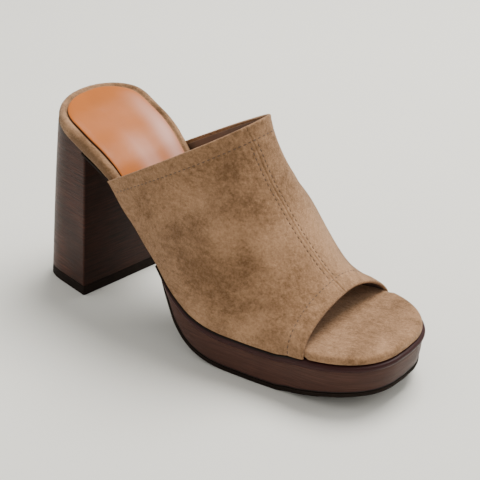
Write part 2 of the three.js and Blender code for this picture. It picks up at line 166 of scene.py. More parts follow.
# The last and the sole, as shares of the sizes above: the plan's middle and half width along the length,
# the footbed's height, and how much of the platform's height lies under it.
PLAN = table(
    "at middle half",
    (0.0, 0.0, 0.38),
    (0.176, -0.058, 0.377),
    (0.33, -0.118, 0.347),
    (0.416, -0.119, 0.391),
    (0.498, -0.101, 0.457),
    (0.601, -0.061, 0.49),
    (0.687, -0.025, 0.493),
    (0.815, 0.01, 0.474),
    (1.0, 0.012, 0.411),
)
SIDE = table(
    "at heel toe",
    (0.0, 1.0, 0.0),
    (0.079, 0.974, 0.0),
    (0.176, 0.876, 0.0),
    (0.223, 0.825, 0.0),
    (0.266, 0.755, 0.0),
    (0.3, 0.666, 0.0),
    (0.33, 0.575, 0.0),
    (0.378, 0.437, 0.0),
    (0.429, 0.313, 0.0),
    (0.498, 0.149, 0.0),
    (0.549, 0.055, 0.0),
    (0.601, 0.012, 0.0),
    (0.644, 0.0, 0.0),
    (0.764, 0.0, 0.0),
    (0.803, 0.0, 0.17),
    (0.931, 0.0, 0.44),
    (1.0, 0.0, 0.54),
)
WEDGE = table(
    "at share",
    (0.0, 0.0),
    (0.378, 0.0),
    (0.418, 0.067),
    (0.442, 0.29),
    (0.464, 0.557),
    (0.488, 0.86),
    (0.519, 0.995),
    (0.56, 1.01),
    (0.601, 1.005),
    (0.644, 1.0),
    (0.764, 1.0),
    (0.815, 0.99),
    (0.858, 0.925),
    (0.901, 0.86),
    (0.953, 0.815),
    (1.0, 0.8),
)

# Sections of the upper from the collar to the toe opening.
UPPER = table(
    "run outer inner crown_x crown_y crown_z full_outer full_inner",
    (0.0, 0.265, 0.26, 0.586, 0.044, 1.0, 2.12, 2.22),
    (0.25, 0.418, 0.442, 0.632, 0.043, 0.828, 2.09, 2.03),
    (0.5, 0.567, 0.592, 0.675, 0.057, 0.69, 2.08, 1.92),
    (0.75, 0.708, 0.721, 0.773, 0.073, 0.417, 2.03, 1.75),
    (1.0, 0.841, 0.836, 0.82, 0.107, 0.352, 1.9, 1.8),
)

# The vamp seam's turn round the foot: -1 at the outer foot, 0 at the crown, 1 at the inner foot.
SEAM = table("run turn", (0.0, -0.18), (0.3, -0.14), (0.55, -0.115), (0.75, -0.055), (1.0, -0.09))

# Soft troughs and ridges of the suede: place, direction in the plane of run and turn, sizes, and depth,
# # which is below zero in a trough.
CREASES = table(
    "run turn slant length width depth_mm",
    (0.42, 0.3, 1.2, 0.3, 0.06, -0.45),
    (0.5, 0.36, 1.2, 0.26, 0.06, 0.25),
    (0.74, 0.2, 1.35, 0.4, 0.06, -0.4),
    (0.3, -0.45, 0.5, 0.3, 0.1, 0.6),
    (0.5, -0.55, 0.6, 0.36, 0.08, -0.6),
    (0.62, -0.4, 0.7, 0.3, 0.07, 0.5),
    (0.72, -0.62, 0.4, 0.3, 0.07, -0.45),
    (0.86, -0.4, 0.2, 0.3, 0.05, 0.35),
    (0.2, 0.6, 0.6, 0.3, 0.08, -0.5),
    (0.6, 0.65, 0.5, 0.4, 0.08, -0.5),
)

# Pile brushed dark or light on the upper, partly painted light on the crown: place, reach and strength;
# # below zero is light.
NAP = table(
    "run turn reach_mm strength",
    (0.15, -0.37, 8, 0.7),
    (0.34, -0.37, 9, 0.4),
    (0.26, -0.74, 10, 0.5),
    (0.31, -0.87, 8, 0.45),
    (0.4, -0.8, 9, 0.45),
    (0.47, -0.76, 9, 0.5),
    (0.56, -0.5, 8, 0.35),
    (0.55, -0.61, 9, 0.35),
    (0.42, -0.74, 18, 0.3),
    (0.16, -0.78, 14, 0.22),
    (0.6, -0.78, 8, 0.5),
    (0.1, -0.89, 7, 0.5),
    (0.17, -0.66, 9, -0.9),
    (0.4, -0.57, 8, -0.8),
    (0.62, -0.42, 8, -0.5),
    (0.69, -0.85, 9, -0.9),
    (0.15, -0.83, 7, -0.5),
    (0.34, -0.49, 7, -0.4),
    (0.57, -0.28, 12, -0.7),
    (0.48, -0.95, 7, -0.6),
    # Painted light: the light patches on the crown, in the next three rows, stand in for the light falling
    # there.
    (0.58, -0.02, 13, -0.8),
    (0.66, 0.1, 14, -0.8),
    (0.8, 0.16, 14, -0.6),
    (0.45, -0.44, 8, -0.5),
    (0.15, 0.05, 12, -0.2),
    (0.3, 0.5, 12, 0.5),
    (0.5, 0.75, 12, -0.4),
    (0.7, 0.5, 11, 0.6),
)


def measure(name, description, default_mm):
    return FloatProperty(name=name, description=description, default=default_mm * MM, unit="LENGTH")


def colour(name, description, default):
    return FloatVectorProperty(
        name=name, description=description, subtype="COLOR", size=3, min=0, max=1, default=default
    )


class MuleSizes(bpy.types.PropertyGroup):
    """Sizes of the seams, the stitches and the lining"""

    stitch_length: measure("Stitch length", "Length of one visible stitch", 1.6)
    stitch_gap: measure("Stitch gap", "Gap from one stitch to the next", 1.3)
    thread: measure("Thread", "Half the thread's thickness", 0.27)
    collar_row: measure("Collar row", "Stitch row's distance from the collar's edge", 8.0)
    toe_row: measure("Toe row", "Stitch row's distance from the toe opening", 9.2)
    seam_row: measure("Seam row", "Distance of each stitch row from the vamp seam", 2.1)
    lining: measure("Lining", "Thickness of the lining", 0.5)
    breast_corner: measure("Breast corner", "Rounding of the heel's front corners", 1.2)


class MuleColours(bpy.types.PropertyGroup):
    """Colours of the shoe's materials and of the floor"""

    suede: colour("Suede", "Suede with its pile lying light, also painted light", (0.482, 0.275, 0.147))
    suede_dark: colour("Suede, dark", "Suede with its pile brushed dark, also painted shade", (0.15, 0.075, 0.031))
    sock: colour("Sock", "Smooth leather of the sock", (0.478, 0.136, 0.023))
    # Painted shade: the colour of the sock's cut edge, standing in for the shade along the rim.
    sock_painted_edge_shade: colour("Sock, painted edge shade", "Painted shade on the sock's cut edge", (0.06, 0.02, 0.008))
    # Painted sheen: the colour of the sock's paler bands, which stand in for reflections.
    sock_painted_sheen: colour("Sock, painted sheen", "The sock's paler bands of painted sheen", (0.7, 0.39, 0.32))
    wood: colour("Stack", "Dark layers of heel and platform", (0.017, 0.0056, 0.003))
    wood_red: colour("Stack, red", "Reddish layers of heel and platform", (0.13, 0.033, 0.016))
    wood_brown: colour("Stack, brown", "Lighter layers of the platform", (0.142, 0.06, 0.043))
    lip: colour("Lip", "Painted lip of the platform", (0.032, 0.009, 0.0085))
    # Rubber: also the colour of the painted shade line at the top of the platform.
    rubber: colour("Rubber", "Outsole and heel lift", (0.0105, 0.0062, 0.0042))
    lining: colour("Lining", "Inside of the upper", (0.14, 0.075, 0.04))
    thread: colour("Thread", "Sewing thread", (0.095, 0.05, 0.024))
    floor: colour("Floor", "Studio floor", (0.88, 0.866, 0.795))


def sizes():
    return bpy.context.scene.mule_sizes


def colours():
    return bpy.context.scene.mule_colours


# Curves and heights of the shoe.


def curve(rows, key):
    """A smooth curve through a table's column that never swings past its rows."""
    along, values = next(iter(rows.values())), rows[key]
    width = np.diff(along)
    rise = np.diff(values) / width
    before, after = width[:-1], width[1:]
    with np.errstate(divide="ignore", invalid="ignore"):
        joined = (2 * after + before) / rise[:-1] + (after + 2 * before) / rise[1:]
        inner = 3 * (before + after) / joined
    inner = np.where(rise[:-1] * rise[1:] > 0, inner, 0)
    slope = np.concatenate([rise[:1], inner, rise[-1:]])

    def at(x):
        x = np.clip(x, along[0], along[-1])
        i = np.clip(np.searchsorted(along, x, side="right") - 1, 0, len(width) - 1)
        t = (x - along[i]) / width[i]
        ends = (2 * t**3 - 3 * t**2 + 1) * values[i] + (3 * t**2 - 2 * t**3) * values[i + 1]
        return ends + width[i] * ((t**3 - 2 * t**2 + t) * slope[i] + (t**3 - t**2) * slope[i + 1])

    return at


def lerp(a, b, t):
    return a + (b - a) * t


def smoothstep(x, low, high):
    t = np.clip((x - low) / (high - low), 0, 1)
    return t * t * (3 - 2 * t)


plan_middle, plan_half = curve(PLAN, "middle"), curve(PLAN, "half")
side_heel, side_toe = curve(SIDE, "heel"), curve(SIDE, "toe")
wedge_share = curve(WEDGE, "share")
upper_curves = {key: curve(UPPER, key) for key in UPPER if key != "run"}
seam_turn = curve(SEAM, "turn")


def round_end(distance, rounding, inset):
    """The share of full width that is left at a distance from a rounded end."""
    length, power = rounding
    t = np.clip(1 - (distance - inset) / (length - inset), 0, 1)
    return (1 - t**power) ** (1 / power)


def outline(x, inset):
    closing = round_end(x, HEEL_ROUND, inset) * round_end(LENGTH - x, TOE_ROUND, inset)
    half = (BALL_WIDTH * plan_half(x / LENGTH) - inset) * closing
    middle = BALL_WIDTH * plan_middle(x / LENGTH)
    return middle - half, middle + half


def footbed_under(x):
    return PLATFORM_HEIGHT + HEEL_RISE * side_heel(x / LENGTH) + TOE_SPRING * side_toe(x / LENGTH)


def upright(thickness, height, x):
    """Height that a layer takes up where the surface under it slopes."""
    step = 0.5 * MM
    return thickness * np.hypot(1, (height(x + step) - height(x - step)) / (2 * step))


def sole_under(x):
    thin = CLEARANCE + upright(ARCH_SOLE_THICKNESS, footbed_under, x)
    return footbed_under(x) - lerp(thin, PLATFORM_HEIGHT, wedge_share(x / LENGTH))


def sole_top(x):
    thickness = lerp(ARCH_SOLE_THICKNESS, SOLE_THICKNESS, np.clip(wedge_share(x / LENGTH), 0, 1))
    return np.minimum(sole_under(x) + upright(thickness, sole_under, x), footbed_under(x) - CLEARANCE)


def footbed_top(x):
    return footbed_under(x) + lerp(RIM_THICKNESS, TOE_BOARD_THICKNESS, smoothstep(x / LENGTH, 0.3, 0.62))


COLLAR_START = LENGTH * min(UPPER["outer"][0], UPPER["inner"][0])
TOE_EDGE = LENGTH * UPPER["outer"][-1]


def collar_stand(x):
    return COLLAR_STAND * (1 - smoothstep(x, COLLAR_START, COLLAR_START + COLLAR_STAND_FADE))


def inside_upper(x):
    return UPPER_WALL - collar_stand(x) + RIM_SNUG


def footbed_inset(x):
    """The footbed steps in under the upper and comes out again in the toe opening."""
    goes_under = smoothstep(x, COLLAR_START - RIM_STEP_BACK, COLLAR_START)
    comes_out = smoothstep(x, TOE_EDGE + TOE_STEP[0], TOE_EDGE + TOE_STEP[1])
    return lerp(goes_under * inside_upper(x), TOE_BOARD_INSET, comes_out)


def from_heel(forward, across):
    seat = BALL_WIDTH * plan_middle(HEEL_PIVOT / LENGTH)
    x = HEEL_PIVOT + (forward - HEEL_PIVOT) * math.cos(HEEL_TURN) - across * math.sin(HEEL_TURN)
    y = seat + (forward - HEEL_PIVOT) * math.sin(HEEL_TURN) + across * math.cos(HEEL_TURN)
    return x, y


def heel_front(y):
    x, middle = from_heel(HEEL_DEPTH, 0)
    return x - (y - middle) * math.tan(HEEL_TURN)


# Meshes.


def mesh_object(name, points, faces, material, replaces=None, sharp=50):
    """A smooth-shaded piece at the shoe's place in the frame, riding on the shoe's one body."""
    mesh = bpy.data.meshes.new(name)
    mesh.from_pydata((np.asarray(points) + SHIFT).tolist(), [], faces)
    mesh.validate()
    mesh.polygons.foreach_set("use_smooth", [True] * len(mesh.polygons))
    mesh.set_sharp_from_angle(angle=math.radians(sharp))
    mesh.materials.append(material)
    mesh.update()
    piece = bpy.data.objects.new(name, mesh)
    bpy.context.scene.collection.objects.link(piece)
    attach(piece, "root")
    if replaces:
        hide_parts(replaces)
    return piece


def spans(*stretches):
    """Places from 0 to 1, given as the end and the number of steps of each stretch."""
    places, start = [0.0], 0.0
    for end, steps in stretches:
        places += [lerp(start, end, (i + 1) / steps) for i in range(steps)]
        start = end
    return np.array(places)


# Stations along the length, closer together at the two round ends.
HEEL_END = 0.125
TOE_END = 0.81
STATIONS = LENGTH * np.concatenate(
    [
        HEEL_END * (1 - np.cos(np.linspace(0, math.pi / 2, 33))),
        np.linspace(HEEL_END, TOE_END, 111)[1:],
        TOE_END + (1 - TOE_END) * np.sin(np.linspace(0, math.pi / 2, 49))[1:],
    ]
)


def stations(start, end, back_inset, front_inset):
    apart = 0.4 * MM
    inner = STATIONS[(STATIONS > start + apart) & (STATIONS < end - apart)]
    x = np.concatenate([[start], inner, [end]])
    back = np.clip(1 - x / HEEL_ROUND[0], 0, 1) ** 2 * back_inset
    front = np.clip(1 - (LENGTH - x) / TOE_ROUND[0], 0, 1) ** 2 * front_inset
    return x + back - front


def stack(outlines):
    """Joins outlines into one closed body, lowest first. Each is an outer and an inner row of points from
    back to front; a row whose ends meet its fellow's is round there."""
    points, faces, levels = [], [], []
    for outer, inner in outlines:
        start = len(points)
        points.extend(outer)
        low = list(range(start, start + len(outer)))
        high = []
        for i, point in enumerate(inner):
            if abs(point[1] - outer[i][1]) < 1e-9:
                high.append(low[i])
            else:
                high.append(len(points))
                points.append(point)
        levels.append((low, high))

    def quad(*corners):
        kept = [c for i, c in enumerate(corners) if c != corners[i - 1]]
        if len(kept) > 2:
            faces.append(kept)

    count = len(levels[0][0]) - 1
    (low_outer, low_inner), (high_outer, high_inner) = levels[0], levels[-1]
    for i in range(count):
        quad(low_outer[i], low_inner[i], low_inner[i + 1], low_outer[i + 1])
        quad(high_outer[i], high_outer[i + 1], high_inner[i + 1], high_inner[i])
    for (under_outer, under_inner), (over_outer, over_inner) in zip(levels, levels[1:]):
        for i in range(count):
            quad(under_outer[i], under_outer[i + 1], over_outer[i + 1], over_outer[i])
            quad(under_inner[i], over_inner[i], over_inner[i + 1], under_inner[i + 1])
        if under_inner[0] != under_outer[0]:
            quad(under_inner[0], under_outer[0], over_outer[0], over_inner[0])
        if under_inner[-1] != under_outer[-1]:
            quad(under_outer[-1], under_inner[-1], over_inner[-1], over_outer[-1])
    return np.array(points), faces


def layer(rings, under, top, start=0.0, end=LENGTH, inset_at=None, back_at=None, sunk=None, steps=18):
    """A layer between two heights. The rings table gives its edge: inset in mm and level from 0 (under) to
    1 (top). sunk gives how far the layer lies lower at x and a place along the table."""
    inset_curve, level_curve = curve(rings, "inset_mm"), curve(rings, "level")
    extra = inset_at or (lambda x: 0 * x)
    outlines = []
    for place in np.linspace(0, 1, steps):
        inset = inset_curve(place) * MM
        level = level_curve(place)
        xs = stations(start, end, inset + extra(np.array(start)), inset + extra(np.array(end)))
        outer, inner = outline(xs, inset + extra(xs))
        if start == 0.0:
            outer[0] = inner[0] = (outer[0] + inner[0]) / 2
        if end == LENGTH:
            outer[-1] = inner[-1] = (outer[-1] + inner[-1]) / 2
        rows = []
        for ys in (outer, inner):
            x = xs
            if back_at:
                x = xs + (back_at(ys) - start) * np.clip(1 - (xs - start) / SLANT_FADE, 0, 1)
            z = lerp(under(x), top(x), level)
            if sunk:
                z = z - sunk(x, place)
            rows.append(np.stack([x, ys, z], 1).tolist())
        outlines.append(rows)
    return stack(outlines)


# The upper's surface.


def upper_foot(x, side):
    in_arch = 1 - smoothstep(x / LENGTH, UPPER_UNWRAPS, PLATFORM_START)
    grown = smoothstep(x, COLLAR_START, COLLAR_START + UPPER_WRAP_GROWS)
    y = outline(x, -collar_stand(x))[side]
    lift = lerp(COLLAR_END_LIFT, UPPER_LIFT, grown)
    return np.stack([x, y, footbed_under(x) + lift - UPPER_WRAP * in_arch * grown], -1)


def upper_point(run, turn):
    """A point on the upper's outer surface, without its creases."""
    run, turn = np.broadcast_arrays(np.asarray(run, float), np.asarray(turn, float))
    at = {key: value(run) for key, value in upper_curves.items()}
    outer = upper_foot(at["outer"] * LENGTH, 0)
    inner = upper_foot(at["inner"] * LENGTH, 1)
    crown = np.stack(
        [at["crown_x"] * LENGTH, at["crown_y"] * BALL_WIDTH, at["crown_z"] * COLLAR_HEIGHT],
        axis=-1,
    )
    share = (crown[..., 1] - outer[..., 1]) / (inner[..., 1] - outer[..., 1])
    centre = lerp(outer, inner, share[..., None])
    foot = np.where((turn < 0)[..., None], outer, inner)
    power = 2 / np.where(turn < 0, at["full_outer"], at["full_inner"])
    angle = (1 - np.abs(turn)) * math.pi / 2
    across = np.clip(np.cos(angle), 0, 1) ** power
    across = np.where(np.abs(turn) < 1e-9, 0, across)
    up = np.clip(np.sin(angle), 0, 1) ** power
    return centre + (foot - centre) * across[..., None] + (crown - centre) * up[..., None]


def upper_normal(run, turn):
    step = 0.01
    along = upper_point(np.minimum(run + step, 1), turn) - upper_point(np.maximum(run - step, 0), turn)
    around = upper_point(run, np.minimum(turn + step, 1)) - upper_point(run, np.maximum(turn - step, -1))
    out = np.cross(along, around)
    return out / np.linalg.norm(out, axis=-1, keepdims=True)


# Lengths along the bare surface, so that rows keep their distance from an edge.
GRID_RUN = np.linspace(0, 1, 161)
GRID_TURN = np.linspace(-1, 1, 241)
GRID = upper_point(GRID_RUN[:, None], GRID_TURN[None, :])


def lengths_along(axis):
    """Length from the grid's first row or column to each place."""
    steps = np.diff(GRID, axis=axis, prepend=np.take(GRID, [0], axis))
    return np.cumsum(np.linalg.norm(steps, axis=2), axis)


DOWN = lengths_along(0)
ROUND = lengths_along(1)


def read_grid(values, run, turn):
    """A value of the grid at any run and turn, straight between its places."""
    r = np.clip(run, 0, 1) * (len(GRID_RUN) - 1)
    c = (np.clip(turn, -1, 1) + 1) / 2 * (len(GRID_TURN) - 1)
    i, j = np.minimum(r.astype(int), len(GRID_RUN) - 2), np.minimum(c.astype(int), len(GRID_TURN) - 2)
    r, c = r - i, c - j
    near = lerp(values[i, j], values[i, j + 1], c)
    far = lerp(values[i + 1, j], values[i + 1, j + 1], c)
    return lerp(near, far, r)


def bell(distance, width):
    return np.exp(-((distance / width) ** 2))


def fold(distance, height, width):
    """A soft ridge, or a groove where the height is below zero."""
    return height * bell(distance, width)


def relief(run, turn):
    """How far the suede stands out of the bare surface: folded edges, seam, stitch rows and creases."""
    size = sizes()
    run, turn = np.broadcast_arrays(np.asarray(run, float), np.asarray(turn, float))
    collar = read_grid(DOWN, run, turn)
    toe = read_grid(DOWN, np.ones_like(run), turn) - collar
    seam = read_grid(ROUND, run, turn) - read_grid(ROUND, run, seam_turn(run))
    out = fold(collar - size.collar_row, *COLLAR_ROW_GROOVE)
    out += fold(toe - size.toe_row, *TOE_ROW_GROOVE)
    out += fold(collar - 0.5 * size.collar_row, COLLAR_SWELL, 0.4 * size.collar_row)
    out += fold(collar - COLLAR_ROLL_IN, *COLLAR_ROLL)
    out += fold(toe - 0.5 * size.toe_row, TOE_SWELL, 0.4 * size.toe_row)
    between = smoothstep(collar, 0, EDGE_FADE) * smoothstep(toe, 0, EDGE_FADE)
    out += fold(seam, *SEAM_GROOVE) * between
    out += fold(np.abs(seam) - 0.45 * size.seam_row, SEAM_SWELL, 0.5 * size.seam_row)
    out += fold(np.abs(seam) - size.seam_row, *SEAM_ROW_GROOVE)
    for place_run, place_turn, slant, length, width, depth in zip(*CREASES.values()):
        along = (run - place_run) * math.cos(slant) + (turn - place_turn) * math.sin(slant)
        across = (turn - place_turn) * math.cos(slant) - (run - place_run) * math.sin(slant)
        out += fold(across, depth * MM, width) * bell(along, length) * between
    return out


def skin(run, turn, depth=0.0):
    """A point of the suede, depth below its outer side."""
    run, turn = np.broadcast_arrays(np.asarray(run, float), np.asarray(turn, float))
    point = upper_point(run, turn)
    out = upper_normal(run, turn)
    # The foot of the wall stays level, so that it rests on the platform.
    moved = point + out * (relief(run, turn) - depth)[..., None]
    foot = np.abs(turn) > 1 - 1e-9
    moved[..., 2] = np.where(foot, point[..., 2], moved[..., 2])
    return moved


def wall(runs, turns, outer_depth, inner_depth, arc_steps=6):
    """A closed curved wall: skins at two depths, joined by round edges at the collar and at the toe."""
    run, turn = np.meshgrid(runs, turns, indexing="ij")
    outside = skin(run, turn, outer_depth(run, turn))
    inside = skin(run, turn, inner_depth(run, turn))
    angles = np.linspace(0, math.pi, arc_steps + 2)[1:-1]

    def edge(row, neighbour):
        a, b = outside[row], inside[row]
        middle, half = (a + b) / 2, (a - b) / 2
        away = outside[row] - outside[neighbour]
        away /= np.linalg.norm(away, axis=1, keepdims=True)
        radius = np.linalg.norm(half, axis=1, keepdims=True)
        return np.stack([middle + half * math.cos(t) + away * radius * math.sin(t) for t in angles])

    loop = np.concatenate([outside, edge(-1, -2), inside[::-1], edge(0, 1)[::-1]])
    rows, columns = loop.shape[:2]
    faces = []
    for r in range(rows):
        after = (r + 1) % rows
        for c in range(columns - 1):
            here, there = r * columns + c, after * columns + c
            faces.append((here, there, there + 1, here + 1))
    count = len(runs)
    inner_row = {i: 2 * count + arc_steps - 1 - i for i in range(count)}
    for c in (0, columns - 1):
        caps = [(i, i + 1, inner_row[i + 1], inner_row[i]) for i in range(count - 1)]
        caps.append(tuple(range(count - 1, count + arc_steps + 1)))
        caps.append(tuple([*range(inner_row[0], rows), 0]))
        for cap in caps:
            face = tuple(r * columns + c for r in cap)
            faces.append(face[::-1] if c == 0 else face)
    return loop.reshape(-1, 3), faces


# Materials.


class Shader:
    """A principled material with short calls for the nodes that these finishes use."""

    def __init__(self, name, base, roughness, **settings):
        self.material = bpy.data.materials.new(name)
        self.material.use_nodes = True
        self.nodes = self.material.node_tree.nodes
        self.links = self.material.node_tree.links
        self.surface = self.nodes["Principled BSDF"]
        self.surface.inputs["Base Color"].default_value = (*base, 1)
        self.surface.inputs["Roughness"].default_value = roughness
        for key, value in settings.items():
            self.surface.inputs[key.replace("_", " ").title().replace("Ior", "IOR")].default_value = value

    def node(self, kind, **inputs):
        made = self.nodes.new(kind)
        for key, value in inputs.items():
            self.put(made.inputs[key], value)
        return made

    def put(self, socket, value):
        if isinstance(value, bpy.types.NodeSocket):
            self.links.new(value, socket)
        elif socket.type == "RGBA":
            socket.default_value = (*value, 1)
        else:
            socket.default_value = value

    def place(self, scale=(1, 1, 1)):
        """The piece's own coordinates, in metres, stretched."""
        coordinates = self.nodes.new("ShaderNodeTexCoord")
        mapping = self.node("ShaderNodeMapping", Vector=coordinates.outputs["Object"])
        mapping.inputs["Scale"].default_value = scale
        return mapping.outputs["Vector"]

    def grain(self, size_mm, detail=4.0, roughness=0.5, stretch=(1, 1, 1), warp=0.0):
        """Noise whose patches are about size_mm wide."""
        made = self.node("ShaderNodeTexNoise", Vector=self.place(stretch))
        made.inputs["Scale"].default_value = 1 / (size_mm * MM)
        made.inputs["Detail"].default_value = detail
        made.inputs["Roughness"].default_value = roughness
        made.inputs["Distortion"].default_value = warp
        return made.outputs["Fac"]

    def attribute(self, name):
        made = self.nodes.new("ShaderNodeAttribute")
        made.attribute_name = name
        return made.outputs["Fac"]

    def span(self, value, low, high, out_low=0.0, out_high=1.0):
        made = self.nodes.new("ShaderNodeMapRange")
        for key, number in (("Value", value), ("From Min", low), ("From Max", high)):
            self.put(made.inputs[key], number)
        self.put(made.inputs["To Min"], out_low)
        self.put(made.inputs["To Max"], out_high)
        return made.outputs["Result"]

    def maths(self, operation, a, b):
        made = self.nodes.new("ShaderNodeMath")
        made.operation = operation
        self.put(made.inputs[0], a)
        self.put(made.inputs[1], b)
        return made.outputs[0]

    def mix(self, factor, a, b, blend="MIX"):
        made = self.nodes.new("ShaderNodeMix")
        made.data_type = "RGBA"
        made.blend_type = blend
        self.put(made.inputs[0], factor)
        self.put(made.inputs[6], a)
        self.put(made.inputs[7], b)
        return made.outputs[2]

    def shaded(self, factor, base, share):
        """The base colour, and a share of it where the factor is high."""
        return self.mix(factor, base, tuple(share * value for value in base))

    def paint(self, base):
        self.put(self.surface.inputs["Base Color"], base)

    def rough(self, value):
        self.put(self.surface.inputs["Roughness"], value)

    def bumps(self, *heights):
        """Bumps one on another, each given as a height and its depth in mm."""
        normal = None
        for height, depth in heights:
            made = self.node("ShaderNodeBump", Height=height)
            made.inputs["Strength"].default_value = 1.0
            made.inputs["Distance"].default_value = depth * MM
            if normal:
                self.links.new(normal, made.inputs["Normal"])
            normal = made.outputs["Normal"]
        self.links.new(normal, self.surface.inputs["Normal"])


def finish(name, build):
    """The finish of that name, built once."""
    name = "finish_" + name
    return bpy.data.materials.get(name) or build(name)


def suede(name):
    """Napped suede: brushed patches, partly painted light on the crown, painted shade along the seam and
    on the rim's side, smaller clouds and a fine speckle.
    """
    c = colours()
    shader = Shader(name, c.suede, 0.92, specular_ior_level=0.2, sheen_weight=0.25, sheen_roughness=0.5)
    shader.surface.inputs["Sheen Tint"].default_value = (0.9, 0.75, 0.6, 1)
    clouds = shader.span(shader.grain(11, detail=5, roughness=0.62, warp=0.7), 0.36, 0.66)
    streaks = shader.span(shader.grain(2.6, detail=4, roughness=0.65, stretch=(0.6, 1, 1)), 0.3, 0.7)
    speckle = shader.span(shader.grain(1.3, detail=5, roughness=0.8), 0.3, 0.7)
    # The attribute holds the brushed pile, painted light on the crown, and painted shade along the seam
    # and on the rim's side.
    dark = shader.attribute("nap_and_painted_light")
    for part, share in ((clouds, 0.24), (streaks, 0.44), (speckle, 0.7)):
        dark = shader.maths("ADD", dark, shader.maths("MULTIPLY", part, share))
    base = shader.mix(shader.span(dark, 0.28, 1.4), c.suede, c.suede_dark)
    shader.paint(base)
    shader.bumps((shader.grain(2.4, detail=3), 0.2), (speckle, 0.2), (shader.grain(0.25, detail=2), 0.06))
    return shader.material


def smooth_leather(name):
    c = colours()
    shader = Shader(name, c.sock, 0.34, specular_ior_level=0.12)
    clouds = shader.span(shader.grain(22, detail=3), 0.3, 0.7)
    pores = shader.node("ShaderNodeTexVoronoi", Vector=shader.place())
    pores.inputs["Scale"].default_value = 1 / (0.8 * MM)
    # Above zero, painted sheen: paler bands standing in for reflections. Below zero, painted shade on the
    # cut edge.
    mark = shader.attribute("painted_sheen_and_shade")
    base = shader.mix(shader.span(mark, 0, 1), shader.shaded(clouds, c.sock, 0.86), c.sock_painted_sheen)
    shader.paint(shader.mix(shader.span(mark, 0, -1), base, c.sock_painted_edge_shade))
    shader.rough(shader.span(shader.grain(3, detail=3), 0.3, 0.7, 0.3, 0.4))
    shader.bumps((pores.outputs["Distance"], 0.03), (shader.grain(5, detail=2), 0.05))
    return shader.material


def stacked(name, lip=False):
    """Thin layers lying one on another, rubbed with a dark burnish; on the heel the front face is darkened
    as a painted shade.
    """
    c = colours()
    shader = Shader(name, c.wood, 0.38, specular_ior_level=0.15)
    layers = shader.span(shader.grain(6, detail=4, roughness=0.65, stretch=(0.3, 0.3, 9)), 0.35, 0.68)
    fine = shader.span(shader.grain(3, detail=3, stretch=(0.25, 0.25, 14)), 0.3, 0.7)
    patches = shader.span(shader.grain(26, detail=2), 0.35, 0.7)
    red = shader.maths("MULTIPLY", layers, shader.span(patches, 0, 1, 0.35, 1.0))
    if lip:
        base = shader.mix(shader.span(red, 0, 1, 0.25, 0.7), c.wood, c.wood_brown)
    else:
        base = shader.mix(red, c.wood, c.wood_red)
    shade = tuple(0.62 * v for v in c.wood)
    base = shader.mix(shader.maths("MULTIPLY", fine, 0.3 if lip else 0.5), base, shade)
    if lip:
        mark = shader.attribute("lip")
        base = shader.mix(shader.span(mark, 0, 1), base, c.lip)
        # From 1 to 2: painted shade at the lip's top, under the upper, and the sole's black edge.
        base = shader.mix(shader.span(mark, 1, 2), base, c.rubber)
    else:
        # Painted shade: the heel's front face darker, standing in for the shade under the arch.
        base = shader.mix(shader.attribute("breast"), base, shade)
    shader.paint(base)
    shader.rough(shader.span(fine, 0, 1, 0.33, 0.48))
    shader.bumps((fine, 0.05), (shader.grain(0.5, detail=2), 0.015))
    return shader.material


def platform_stack(name):
    return stacked(name, lip=True)


def rubber(name):
    c = colours()
    shader = Shader(name, c.rubber, 0.75, specular_ior_level=0.1)
    dust = shader.span(shader.grain(5, detail=5), 0.45, 0.8)
    shader.paint(shader.shaded(shader.maths("MULTIPLY", dust, 0.4), c.rubber, 2.4))
    shader.bumps((shader.grain(0.9, detail=3), 0.04))
    return shader.material


def lining(name):
    c = colours()
    shader = Shader(name, c.lining, 0.7, sheen_weight=0.1)
    shader.paint(shader.shaded(shader.span(shader.grain(7, detail=4), 0.3, 0.7), c.lining, 0.7))
    shader.bumps((shader.grain(0.4, detail=2), 0.03))
    return shader.material


def thread(name):
    c = colours()
    shader = Shader(name, c.thread, 0.6, sheen_weight=0.2)
    shader.paint(shader.shaded(shader.grain(0.6, detail=2), c.thread, 0.6))
    shader.bumps((shader.grain(0.25, detail=1), 0.03))
    return shader.material


def floor(name):
    c = colours()
    shader = Shader(name, c.floor, 0.75, specular_ior_level=0.25)
    shader.paint(shader.shaded(shader.span(shader.grain(240, detail=2), 0.3, 0.7), c.floor, 0.975))
    return shader.material


# Pieces.


def set_attribute(piece, name, values):
    attribute = piece.data.attributes.new(name, "FLOAT", "POINT")
    attribute.data.foreach_set("value", np.asarray(values, np.float32))


def nap_and_painted_light_at(points):
    """Brushed pile on the upper near the listed places, frayed by noise; the light patches on the crown
    are painted light, and the dark line along the seam is painted shade.
    """
    places = upper_point(NAP["run"], NAP["turn"])
    noise.seed_set(NAP_SEED)
    warp = np.array([noise.noise_vector(Vector(p) * 70) for p in points.tolist()]) * NAP_FRAY
    out = np.zeros(len(points))
    for place, reach, strength in zip(places, NAP["reach_mm"] * MM, NAP["strength"]):
        out += strength * bell(np.linalg.norm(points + warp - place, axis=1), reach)
    line = np.linspace(0, 1, 200)
    seam = skin(line, seam_turn(line))
    parts = np.array_split(points, 40)
    nearest = np.concatenate([np.linalg.norm(part[:, None] - seam, axis=2).min(axis=1) for part in parts])
    brushed = np.where(out > 0, 0.34 * np.tanh(1.4 * out), np.maximum(0.5 * out, -0.6))
    # Painted shade: a dark line along the seam.
    return NAP_AT_REST + brushed + SEAM_SHADE * bell(nearest, SEAM_SHADE_WIDTH)


